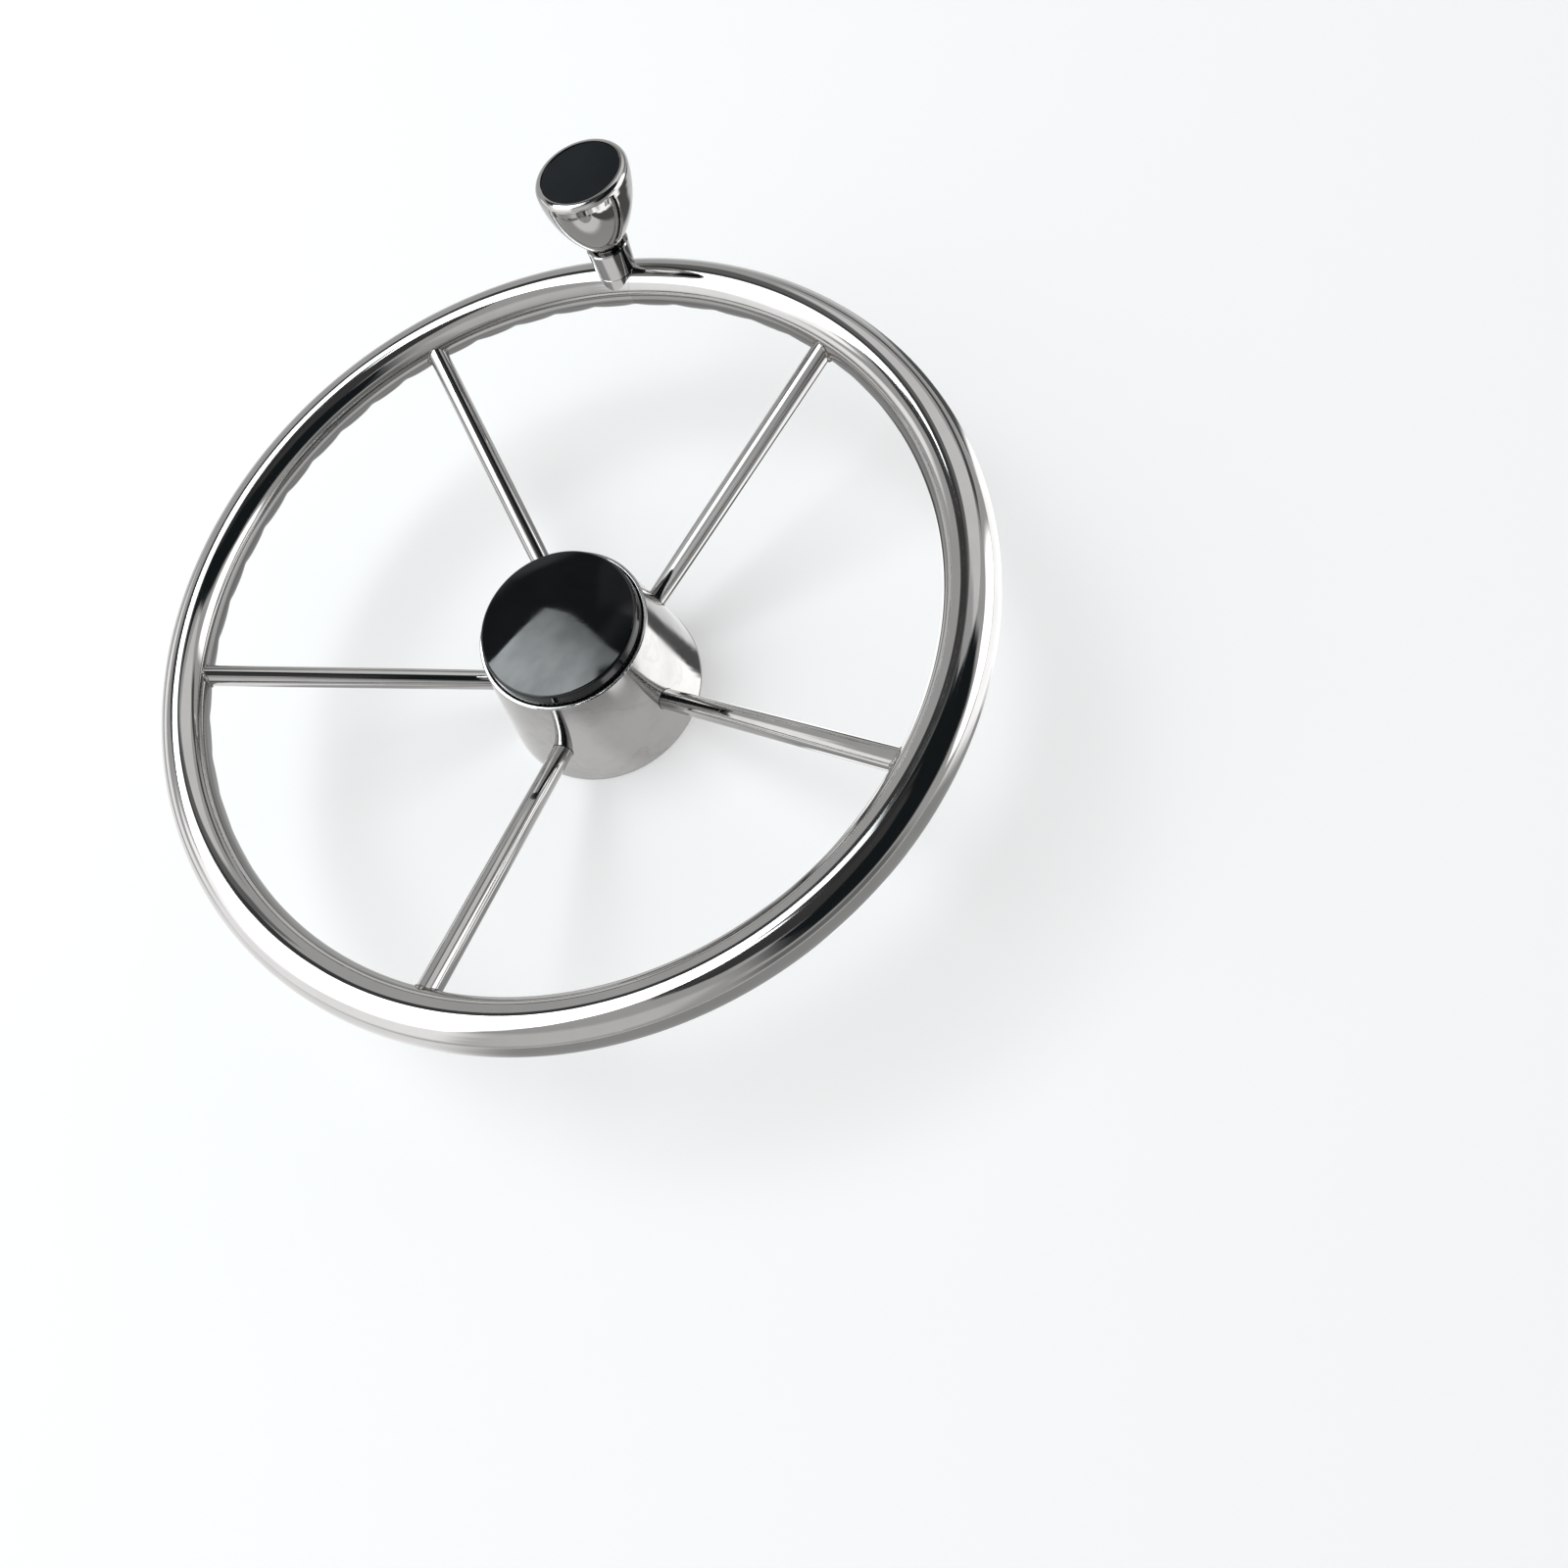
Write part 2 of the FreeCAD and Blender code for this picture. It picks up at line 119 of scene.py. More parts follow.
# Camera, at the photograph's viewing angle
IMAGE_SIDE = 1600.0
FOCAL_PIXELS = 1022.7
PRINCIPAL_POINT = (660.0, 740.0)
SENSOR_WIDTH = 36.0
CAMERA_PLACE = Vector((0.20433, -0.18619, 0.45462))
CAMERA_FORWARD = Vector((-0.33695, 0.31990, -0.88551))
CAMERA_UP = Vector((-0.11376, 0.91979, 0.37557))

# Studio: walls, the cards before them, and the floor
WHITE = (1.0, 1.0, 1.0)
WALL_DISTANCE = 3.2
WALL_GLOW = 0.6
WALL_RINGS = 12
WALL_SIDES = 48
BAND_DISTANCE = 3.1
BAND_STEPS = 12
BAND_SIDES = (-1.0, -0.5, 0.0, 0.5, 1.0)
CARD_DISTANCE = 2.6
CREST_START, CREST_TOP, CREST_END = -1.05, -0.45, 0.35
WORLD_GLOW = 0.6
FLOOR_RADIUS = 3.18
FLOOR_SIDES = 96
FLOOR_GLOW = 0.4
FLOOR_COLOUR = (0.86, 0.86, 0.86, 1.0)

# Cards on the floor round the wheel: their extent
LOW_CARDS_START = 0.0545
LOW_CARDS_END = 1.4
LOW_CARDS_LIFT = 0.0004
LOW_CARDS_RINGS = 40
LOW_CARDS_SIDES = 180

# Their greys near the hub, under the rim and outside it, the radii where these change,
# and the degrees about EDGE_START at which one side changes to the next
NEAR_BACK, RING_BACK, FAR_BACK = 1.0, 0.46, 0.85
NEAR_LEFT, RING_LEFT, FAR_LEFT = 0.85, 0.6, 1.3
NEAR_FRONT, RING_FRONT, FAR_FRONT = 0.7, 0.45, 0.45
RING_RISE = (0.092, 0.12)
RING_FALL = (0.235, 0.20)
OUTSIDE_RISE = (0.20, 0.24)
BACK_TO_LEFT = (170.0, 195.0)
LEFT_TO_FRONT = (-112.0, -95.0)

# Their white card with its dark edge: the corner that both start from, their glow, and
# the degrees and radii between which they lie
EDGE_START = 0.045
WHITE_CARD = 1.9
DARK_EDGE = 0.12
WHITE_FIRST = -30.0
WHITE_SHIFT, WHITE_SHIFT_RISE = 30.0, (0.10, 0.14)
WHITE_RETURN, WHITE_RETURN_RISE = 12.0, (0.26, 0.31)
WHITE_SOFT = 16.0
WHITE_TO_DARK = (50.0, 56.0)
DARK_LAST = 70.0
DARK_SOFT = 8.0
DARK_WIDER = 18.0
DARK_WIDER_REACH = 0.06
DARK_WIDER_RISE, DARK_WIDER_FALL = (0.19, 0.22), (0.34, 0.30)

# Their white patch before the wheel: its direction, and its extent along and across that
PATCH_RUN = (0.838, -0.545)
PATCH_RISE, PATCH_FALL = (0.112, 0.126), (0.205, 0.19)
PATCH_SIDE = (0.026, 0.014)


def new_material(name, lamp=False):
    """Material with an empty node tree, and its output node.

    A lamp's light is looked for from every surface, which makes the render slower.
    """
    material = bpy.data.materials.new(name)
    material.use_nodes = True
    material.cycles.emission_sampling = "AUTO" if lamp else "NONE"
    tree = material.node_tree
    tree.nodes.clear()
    return material, tree, tree.nodes.new("ShaderNodeOutputMaterial")


def add_node(tree, kind, **settings):
    """Node of a kind, with its settings and its inputs' fixed values."""
    node = tree.nodes.new(kind)
    for key, value in settings.items():
        if hasattr(node, key):
            setattr(node, key, value)
        else:
            node.inputs[key.replace("_", " ")].default_value = value
    return node


def object_places(tree):
    """Coordinates on the object, in metres."""
    return tree.nodes.new("ShaderNodeTexCoord").outputs["Object"]


def attribute(tree, name, output="Vector"):
    """Values that the mesh holds under a name."""
    return add_node(tree, "ShaderNodeAttribute", attribute_name=name).outputs[output]


def math_node(tree, operation, *values):
    """Result of a Math node whose inputs are numbers or sockets."""
    node = add_node(tree, "ShaderNodeMath", operation=operation)
    for socket, value in zip(node.inputs, values):
        if isinstance(value, (int, float)):
            socket.default_value = value
        else:
            tree.links.new(value, socket)
    return node.outputs[0]


def ramp(tree, factor, low, high, from_low, from_high):
    """Factor mapped smoothly from one range to another."""
    node = add_node(tree, "ShaderNodeMapRange", interpolation_type="SMOOTHSTEP",
                    From_Min=from_low, From_Max=from_high, To_Min=low, To_Max=high)
    tree.links.new(factor, node.inputs["Value"])
    return node.outputs["Result"]


def mixed_colour(tree, factor, first, second):
    """Colour between two fixed colours or sockets."""
    node = add_node(tree, "ShaderNodeMix", data_type="RGBA")
    tree.links.new(factor, node.inputs["Factor"])
    for socket, value in zip((node.inputs[6], node.inputs[7]), (first, second)):
        if isinstance(value, tuple):
            socket.default_value = (*value, 1.0)
        else:
            tree.links.new(value, socket)
    return node.outputs[2]


def mixed_shader(tree, factor, first, second):
    """Shader between two shader nodes, by a socket or a number."""
    mix = tree.nodes.new("ShaderNodeMixShader")
    if isinstance(factor, float):
        mix.inputs[0].default_value = factor
    else:
        tree.links.new(factor, mix.inputs[0])
    tree.links.new(first.outputs[0], mix.inputs[1])
    tree.links.new(second.outputs[0], mix.inputs[2])
    return mix


def shaded(colour, share):
    """Colour with a share of its brightness."""
    return tuple(channel * share for channel in colour)


def noise_node(tree, coordinates, scale, detail, roughness):
    """Noise factor over coordinates."""
    node = add_node(tree, "ShaderNodeTexNoise", Scale=scale, Detail=detail, Roughness=roughness)
    tree.links.new(coordinates, node.inputs["Vector"])
    return node.outputs["Fac"]


def bumped(tree, height):
    """Normal with a height in metres over it."""
    node = add_node(tree, "ShaderNodeBump", Strength=1.0, Distance=1.0)
    tree.links.new(height, node.inputs["Height"])
    return node.outputs["Normal"]


def bumped_by(tree, factor, height):
    """Normal over which a factor of 1 stands a height in metres."""
    return bumped(tree, math_node(tree, "MULTIPLY", factor, height))


def polished_steel(name, rough, cloudiness, line_places=None, wave=0.0, dull_and_shaded_side=None):
    """Mirror-polished stainless with faint clouds, polishing lines and a slightly uneven skin.

    line_places makes the coordinates along which the fine lines run, where there are any.
    dull_and_shaded_side makes the share of a side that is less polished and whose colour is painted
    darker as shade, where there is one.
    """
    material, tree, output = new_material(name)
    place = object_places(tree)
    shader = add_node(tree, "ShaderNodeBsdfPrincipled", Metallic=1.0)
    cloud = noise_node(tree, place, scale=30.0, detail=6.0, roughness=0.62)
    clouds = ramp(tree, cloud, 0.0, 1.0, *CLOUD_RANGE)
    colour = mixed_colour(tree, clouds, shaded(STEEL, 1.0 - cloudiness), STEEL)
    roughness = ramp(tree, cloud, rough * CLOUD_ROUGH, rough * CLEAR_ROUGH, *CLOUD_RANGE)
    if dull_and_shaded_side is not None:
        streaks = noise_node(tree, line_places(tree), scale=0.22, detail=4.0, roughness=0.6)
        streaks = ramp(tree, streaks, 1.0, 0.25, from_low=0.36, from_high=0.62)
        dull_and_shade = math_node(tree, "MULTIPLY", dull_and_shaded_side(tree), streaks)
        # Painted shade: the less polished side's colour is darkened to a share of the steel's; its
        # roughness goes up too.
        colour = mixed_colour(tree, dull_and_shade, colour, shaded(STEEL, PAINTED_SHADE_SHARE))
        roughness = math_node(tree, "MULTIPLY_ADD", dull_and_shade, DULL_ROUGHNESS, roughness)
    tree.links.new(colour, shader.inputs["Base Color"])
    height = noise_node(tree, place, scale=22.0, detail=2.0, roughness=0.5)
    height = math_node(tree, "MULTIPLY", height, wave)
    if line_places is not None:
        lines = noise_node(tree, line_places(tree), scale=1.0, detail=3.0, roughness=0.65)
        ridges = noise_node(tree, line_places(tree), scale=0.3, detail=2.0, roughness=0.5)
        worn = ramp(tree, lines, 0.0, rough * 1.5, from_low=0.42, from_high=0.7)
        roughness = math_node(tree, "ADD", roughness, worn)
        height = math_node(tree, "MULTIPLY_ADD", lines, FINE_LINES, height)
        height = math_node(tree, "MULTIPLY_ADD", ridges, BROAD_LINES, height)
    tree.links.new(roughness, shader.inputs["Roughness"])
    tree.links.new(bumped(tree, height), shader.inputs["Normal"])
    tree.links.new(shader.outputs[0], output.inputs["Surface"])
    return material


def tube_places(tree):
    """Coordinates of the rim's polishing lines, which run along the tube."""
    return attribute(tree, "tube_place")


def grip_side_dull_and_shaded(tree):
    """Share of the inner and rear side of the tube, which faces the floor: the grips keep it from a full
    polish, and there its colour is painted darker as shade.
    """
    node = add_node(tree, "ShaderNodeVectorMath", operation="DOT_PRODUCT")
    tree.links.new(tube_places(tree), node.inputs[0])
    facing = (math.cos(DULL_AND_SHADED_FACING), math.sin(DULL_AND_SHADED_FACING), 0.0)
    node.inputs[1].default_value = shaded(facing, 1.0 / LINES_AROUND)
    return ramp(tree, node.outputs["Value"], 0.0, 1.0, from_low=0.25, from_high=0.75)


def spoke_places(index):
    """Maker of coordinates for the polishing lines of one spoke, which run along it."""
    def made(tree):
        turn = (0.0, -SPOKE_RAKE, spoke_angle(index))
        turned = add_node(tree, "ShaderNodeMapping", vector_type="TEXTURE", Rotation=turn)
        scaled = add_node(tree, "ShaderNodeMapping", Scale=SPOKE_LINES)
        tree.links.new(object_places(tree), turned.inputs["Vector"])
        tree.links.new(turned.outputs["Vector"], scaled.inputs["Vector"])
        return scaled.outputs["Vector"]
    return made


def hub_zones(tree, place):
    """Shares of the hub that are polished and that are machined."""
    split = tree.nodes.new("ShaderNodeSeparateXYZ")
    tree.links.new(place, split.inputs[0])
    x, y, height = split.outputs
    squares = [math_node(tree, "MULTIPLY", value, value) for value in (x, y)]
    radius = math_node(tree, "SQRT", math_node(tree, "ADD", *squares))
    slope = (REAR_R - LIP_R) / (LIP_Z - REAR_Z)
    below_lip = math_node(tree, "SUBTRACT", LIP_Z, height)
    wall = math_node(tree, "MULTIPLY_ADD", below_lip, slope, LIP_R - SKIN)
    outside = math_node(tree, "GREATER_THAN", radius, wall)
    lip = math_node(tree, "GREATER_THAN", height, LIP_Z - SKIN)
    rear = math_node(tree, "LESS_THAN", height, REAR_Z + FACE_SKIN)
    polished = math_node(tree, "MAXIMUM", outside, math_node(tree, "MAXIMUM", lip, rear))
    boss_front = math_node(tree, "GREATER_THAN", height, BOSS_Z - FACE_SKIN)
    from_boss_rear = math_node(tree, "ABSOLUTE", height)
    boss_rear = math_node(tree, "LESS_THAN", from_boss_rear, BOSS_REAR_SKIN)
    on_boss = math_node(tree, "LESS_THAN", radius, BOSS_R + FACE_SKIN)
    faces = math_node(tree, "MAXIMUM", boss_front, boss_rear)
    faces = math_node(tree, "MULTIPLY", faces, on_boss)
    machined = math_node(tree, "MAXIMUM", faces, math_node(tree, "LESS_THAN", radius, BORE_R))
    return polished, machined


def hub_outside(tree, place):
    """Polished skin of the hub, a little cloudy and with faint veins."""
    skin = add_node(tree, "ShaderNodeBsdfPrincipled", Metallic=1.0)
    cloud = noise_node(tree, place, scale=24.0, detail=6.0, roughness=0.6)
    clouds = ramp(tree, cloud, 0.0, 1.0, from_low=0.36, from_high=0.62)
    colour = mixed_colour(tree, clouds, shaded(STEEL, 0.86), STEEL)
    veins = noise_node(tree, place, scale=26.0, detail=3.0, roughness=0.55)
    veins = math_node(tree, "ABSOLUTE", math_node(tree, "SUBTRACT", veins, 0.5))
    veins = ramp(tree, veins, 1.0, 0.0, from_low=0.0, from_high=0.03)
    veins = math_node(tree, "MULTIPLY", veins, 0.16)
    colour = mixed_colour(tree, veins, colour, shaded(STEEL, 0.6))
    sheen = ramp(tree, cloud, 0.17, 0.05, from_low=0.34, from_high=0.66)
    waves = noise_node(tree, place, scale=26.0, detail=2.0, roughness=0.5)
    tree.links.new(colour, skin.inputs["Base Color"])
    tree.links.new(sheen, skin.inputs["Roughness"])
    tree.links.new(bumped_by(tree, waves, 0.00035), skin.inputs["Normal"])
    return skin


def hub_inside(tree, place, machined):
    """Dark grainy skin as cast, and the brighter machined faces of the boss."""
    skin = add_node(tree, "ShaderNodeBsdfPrincipled", Metallic=0.85)
    grain = noise_node(tree, place, scale=900.0, detail=5.0, roughness=0.7)
    grains = ramp(tree, grain, 0.0, 1.0, from_low=0.35, from_high=0.7)
    cast = mixed_colour(tree, grains, CAST_GREY, shaded(CAST_GREY, 1.9))
    roughness = math_node(tree, "MULTIPLY_ADD", machined, -0.12, 0.55)
    tree.links.new(mixed_colour(tree, machined, cast, BOSS_GREY), skin.inputs["Base Color"])
    tree.links.new(roughness, skin.inputs["Roughness"])
    tree.links.new(bumped_by(tree, grain, 0.00012), skin.inputs["Normal"])
    return skin


def hub_material():
    """Hub casting: polished outside, as cast inside."""
    material, tree, output = new_material("hub_steel")
    place = object_places(tree)
    polished, machined = hub_zones(tree, place)
    inside = hub_inside(tree, place, machined)
    mix = mixed_shader(tree, polished, inside, hub_outside(tree, place))
    tree.links.new(mix.outputs[0], output.inputs["Surface"])
    return material


def weld_material():
    """Unpolished weld: dark in its hollows, bright on its crests."""
    material, tree, output = new_material("weld_steel")
    shader = add_node(tree, "ShaderNodeBsdfPrincipled", Metallic=1.0)
    lumps = noise_node(tree, object_places(tree), scale=900.0, detail=4.0, roughness=0.7)
    crests = ramp(tree, lumps, 0.0, 1.0, from_low=0.4, from_high=0.62)
    colour = mixed_colour(tree, crests, (0.10, 0.095, 0.09), (0.48, 0.46, 0.43))
    sheen = ramp(tree, lumps, 0.5, 0.2, from_low=0.4, from_high=0.62)
    tree.links.new(colour, shader.inputs["Base Color"])
    tree.links.new(sheen, shader.inputs["Roughness"])
    tree.links.new(bumped_by(tree, lumps, 0.0004), shader.inputs["Normal"])
    tree.links.new(shader.outputs[0], output.inputs["Surface"])
    return material


def seam_shadow_material():
    """Dark hairline where two polished pieces meet: a joint line, and painted shadow of the groove
    between them.
    """
    material, tree, output = new_material("seam_painted_shadow")
    shader = add_node(tree, "ShaderNodeBsdfPrincipled", Metallic=0.4, Roughness=0.5)
    dirt_and_shadow = noise_node(tree, object_places(tree), scale=700.0, detail=3.0, roughness=0.6)
    dirt_and_shadow = ramp(tree, dirt_and_shadow, 0.0, 1.0, from_low=0.35, from_high=0.65)
    colour = mixed_colour(tree, dirt_and_shadow, (0.012, 0.012, 0.012), (0.05, 0.048, 0.045))
    tree.links.new(colour, shader.inputs["Base Color"])
    tree.links.new(shader.outputs[0], output.inputs["Surface"])
    return material


def moulded_plastic(name, tint, rough, smear=0.5, peel_height=0.0000012, gloss=0.5):
    """Moulded plastic with faint finger smears and orange peel."""
    material, tree, output = new_material(name)
    place = object_places(tree)
    shader = add_node(tree, "ShaderNodeBsdfPrincipled", Metallic=0.0, Specular_IOR_Level=gloss)
    cloud = noise_node(tree, place, scale=60.0, detail=7.0, roughness=0.65)
    clouds = ramp(tree, cloud, 0.0, 1.0, from_low=0.4, from_high=0.7)
    colour = mixed_colour(tree, clouds, tint, shaded(tint, 1.5))
    sheen = ramp(tree, cloud, rough * (1.0 + smear), rough * (1.0 - smear), from_low=0.35, from_high=0.68)
    peel = noise_node(tree, place, scale=420.0, detail=3.0, roughness=0.6)
    tree.links.new(colour, shader.inputs["Base Color"])
    tree.links.new(sheen, shader.inputs["Roughness"])
    tree.links.new(bumped_by(tree, peel, peel_height), shader.inputs["Normal"])
    tree.links.new(shader.outputs[0], output.inputs["Surface"])
    return material


def dress(obj, material):
    """Gives an object one material in all of its slots."""
    obj.data.materials.clear()
    obj.data.materials.append(material)


def new_object(name, vertices, faces, material, sharp_degrees=35.0):
    """Mesh object with smooth shading that breaks at sharp edges."""
    mesh = bpy.data.meshes.new(name)
    mesh.from_pydata(vertices, [], faces)
    mesh.validate()
    mesh.shade_smooth()
    mesh.set_sharp_from_angle(angle=math.radians(sharp_degrees))
    obj = bpy.data.objects.new(name, mesh)
    bpy.context.scene.collection.objects.link(obj)
    mesh.materials.append(material)
    return obj


def grid_faces(rows, columns, rows_close=True, columns_close=True):
    """Faces of a grid of vertices, which can close on itself both ways."""
    faces = []
    for i in range(rows if rows_close else rows - 1):
        row, after = i * columns, (i + 1) % rows * columns
        for j in range(columns if columns_close else columns - 1):
            k = (j + 1) % columns
            faces.append((row + j, after + j, after + k, row + k))
    return faces


def grip_depth(along, around):
    """Depth of the finger grips: along runs round the wheel, around runs round the tube."""
    pitch = 2.0 * math.pi / GRIP_COUNT
    offset = ((along - KNOB_SIDE) / pitch + 0.5) % 1.0 - 0.5
    from_crease = math.sqrt((2.0 * offset) ** 2 + GRIP_CREASE ** 2)
    lobe = max(0.0, 1.0 - from_crease) ** GRIP_SHARPNESS
    edge = math.cos(GRIP_SPREAD)
    side = max(0.0, (math.cos(around - GRIP_FACING) - edge) / (1.0 - edge))
    return GRIP_DEPTH * lobe * min(1.0, GRIP_FULLNESS * side)


def make_rim():
    """Rim tube with smooth finger grips, and coordinates along the tube for its lines."""
    steps = GRIP_COUNT * GRIP_STEPS
    vertices = []
    places = []
    for i in range(steps):
        along = KNOB_SIDE + 2.0 * math.pi * i / steps
        for j in range(RIM_SIDES):
            around = 2.0 * math.pi * j / RIM_SIDES
            radius = TUBE_R - grip_depth(along, around)
            out = RIM_R + radius * math.cos(around)
            height = RIM_Z + radius * math.sin(around)
            vertices.append((out * math.cos(along), out * math.sin(along), height))
            places.extend((LINES_AROUND * math.cos(around), LINES_AROUND * math.sin(around)))
            places.append(LINES_ALONG * i / steps)
    steel = polished_steel("rim_steel", rough=0.035, cloudiness=0.06, line_places=tube_places,
                           wave=0.00005, dull_and_shaded_side=grip_side_dull_and_shaded)
    rim = new_object("rim_grips", vertices, grid_faces(steps, RIM_SIDES), steel, RIM_SHARP_DEGREES)
    rim.data.attributes.new("tube_place", "FLOAT_VECTOR", "POINT").data.foreach_set("vector", places)
    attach(rim, "wheel")
    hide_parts("rim_tube")


def spoke_angle(index):
    """Place of a spoke about the shaft axis; the knob is midway between two of them."""
    return KNOB_SIDE + 2.0 * math.pi / SPOKE_COUNT * (index + 0.5)


def spoke_axes(index):
    """Start, direction, side and upper side of a spoke."""
    turn = Matrix.Rotation(spoke_angle(index), 3, "Z")
    start = turn @ Vector((SPOKE_HUB_R, 0.0, SPOKE_HUB_Z))
    run = turn @ Vector((math.cos(SPOKE_RAKE), 0.0, math.sin(SPOKE_RAKE)))
    side = turn @ Vector((0.0, 1.0, 0.0))
    return start, run, side, run.cross(side)


def inside_rim(point):
    """Whether a point is inside the rim's tube."""
    return math.hypot(math.hypot(point.x, point.y) - RIM_R, point.z - RIM_Z) < TUBE_R


def inside_skirt(point):
    """Whether a point is inside the hub's cone."""
    radius = LIP_R + (LIP_Z - point.z) * (REAR_R - LIP_R) / (LIP_Z - REAR_Z)
    return math.hypot(point.x, point.y) < radius


def crossing(start, run, low, high, test):
    """Point on a line where a test changes, found between two distances."""
    first = test(start + run * low)
    for _ in range(40):
        middle = (low + high) / 2.0
        if test(start + run * middle) == first:
            low = middle
        else:
            high = middle
    return start + run * high


def spoke_ring(index, search, test):
    """Closed line on a spoke's skin where it meets the rim or the hub."""
    start, run, side, upper = spoke_axes(index)
    points = []
    for step in range(BEAD_STEPS):
        a = 2.0 * math.pi * step / BEAD_STEPS
        on_skin = start + (side * math.cos(a) + upper * math.sin(a)) * SPOKE_R
        points.append(crossing(on_skin, run, *search, test))
    return points


def make_bead(name, points, radius_at, material):
    """Round bead along a closed line; radius_at gives its radius at each step."""
    count = len(points)
    middle = sum(points, Vector()) / count
    vertices = []
    for i, point in enumerate(points):
        ahead = (points[(i + 1) % count] - points[i - 1]).normalized()
        out = (point - middle).normalized()
        across = ahead.cross(out).normalized()
        out = across.cross(ahead)
        for j in range(BEAD_SIDES):
            a = 2.0 * math.pi * j / BEAD_SIDES
            vertices.append(point + (out * math.cos(a) + across * math.sin(a)) * radius_at(i, point))
    faces = grid_faces(count, BEAD_SIDES)
    bead = new_object(name, vertices, faces, material, BEAD_SHARP_DEGREES)
    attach(bead, "wheel")
    return bead


def weld_radius(blob):
    """Maker of a weld's uneven radius, with a blob at the step where the weld ends."""
    def made(step, point):
        lump = noise.noise(point * WELD_FINE_LUMPS) * 0.45
        lump += noise.noise(point * WELD_COARSE_LUMPS) * 0.5
        away = abs((step - blob + BEAD_STEPS // 2) % BEAD_STEPS - BEAD_STEPS // 2)
        near = math.exp(-(away / (BEAD_STEPS * WELD_BLOB_SPREAD)) ** 2)
        return WELD_R * (1.0 + lump) + (WELD_BLOB_R - WELD_R) * near
    return made


def make_joints():
    """Weld beads between the spokes and the rim, and the dark joint lines at the hub, which are also
    painted shadow.
    """
    weld = weld_material()
    seam = seam_shadow_material()
    for index in range(SPOKE_COUNT):
        radius_at = weld_radius(index * BEAD_STEPS // WELD_BLOB_SHIFT)
        ring = spoke_ring(index, WELD_SEARCH, inside_rim)
        bead = make_bead("rim_weld_%d" % (index + 1), ring, radius_at, weld)
        # Dark ring where each spoke meets the hub's skirt: a joint line and painted shadow of the groove.
        ring = spoke_ring(index, SEAM_SHADOW_SEARCH, inside_skirt)
        bead = make_bead("hub_seam_shadow_%d" % (index + 1), ring, lambda step, point: SEAM_SHADOW_R, seam)


def direction(azimuth, elevation):
    """Unit vector at an azimuth from +X towards +Y and an elevation above the floor."""
    a, e = math.radians(azimuth), math.radians(elevation)
    return Vector((math.cos(a) * math.cos(e), math.sin(a) * math.cos(e), math.sin(e)))


def card_material(name, strength, tint, soft, mottle=0.0, crest=0.0):
    """Glowing or dark card whose edges fade out.

    mottle is the share by which clouds dim it, and crest is the extra glow of its left part.
    """
    material, tree, output = new_material(name, lamp=crest > 0.0)
    place = attribute(tree, "card_place")
    split = tree.nodes.new("ShaderNodeSeparateXYZ")
    tree.links.new(place, split.inputs[0])
    fades = []
    for axis in ("X", "Y"):
        edge = math_node(tree, "ABSOLUTE", split.outputs[axis])
        fades.append(ramp(tree, edge, 1.0, 0.0, 1.0 - soft, 1.0))
    inside = math_node(tree, "MULTIPLY", *fades)
    glow = add_node(tree, "ShaderNodeEmission", Color=(*tint, 1.0), Strength=strength)
    if crest > 0.0:
        rise = ramp(tree, split.outputs["X"], 0.0, 1.0, CREST_START, CREST_TOP)
        fall = ramp(tree, split.outputs["X"], 1.0, 0.0, CREST_TOP, CREST_END)
        bright = math_node(tree, "MULTIPLY", rise, fall)
        tree.links.new(math_node(tree, "MULTIPLY_ADD", bright, crest, strength), glow.inputs["Strength"])
    if mottle > 0.0:
        cloud = noise_node(tree, place, scale=3.0, detail=5.0, roughness=0.6)
        clouds = ramp(tree, cloud, 0.0, 1.0, from_low=0.3, from_high=0.7)
        colour = mixed_colour(tree, clouds, shaded(tint, 1.0 - mottle), tint)
        tree.links.new(colour, glow.inputs["Color"])
    mix = mixed_shader(tree, inside, tree.nodes.new("ShaderNodeBsdfTransparent"), glow)
    tree.links.new(mix.outputs[0], output.inputs["Surface"])
    return material


def card_object(name, vertices, faces, material, kind=None, values=()):
    """Stage object that the camera doesn't see, with values at its vertices of a kind."""
    mesh = bpy.data.meshes.new(name)
    mesh.from_pydata(vertices, [], faces)
    if kind == "card_place":
        mesh.attributes.new(kind, "FLOAT_VECTOR", "POINT").data.foreach_set("vector", values)
    elif kind == "card_glow":
        mesh.attributes.new(kind, "FLOAT", "POINT").data.foreach_set("value", values)
    mesh.materials.append(material)
    card = bpy.data.objects.new(name, mesh)
    bpy.context.scene.collection.objects.link(card)
    card.visible_camera = False
    return card


def add_card(name, azimuth, elevation, width, height, strength, roll=0.0, soft=0.03,
             tint=WHITE, mottle=0.0, nearer=0.0, crest=0.0):
    """Flat card that faces the wheel; width and height are the degrees that it covers."""
    out = direction(azimuth, elevation)
    turn = out.to_track_quat("Z", "Y").to_matrix() @ Matrix.Rotation(math.radians(roll), 3, "Z")
    distance = CARD_DISTANCE - nearer
    half_width = distance * math.tan(math.radians(width / 2.0))
    half_height = distance * math.tan(math.radians(height / 2.0))
    centre = Vector((0.0, 0.0, RIM_Z)) + out * distance
    corners = [(-1, -1), (1, -1), (1, 1), (-1, 1)]
    vertices = [centre + turn @ Vector((x * half_width, y * half_height, 0.0)) for x, y in corners]
    places = [value for x, y in corners for value in (x, y, 0.0)]
    material = card_material(name, strength, tint, soft, mottle, crest)
    card_object(name, vertices, [(0, 1, 2, 3)], material, "card_place", places)


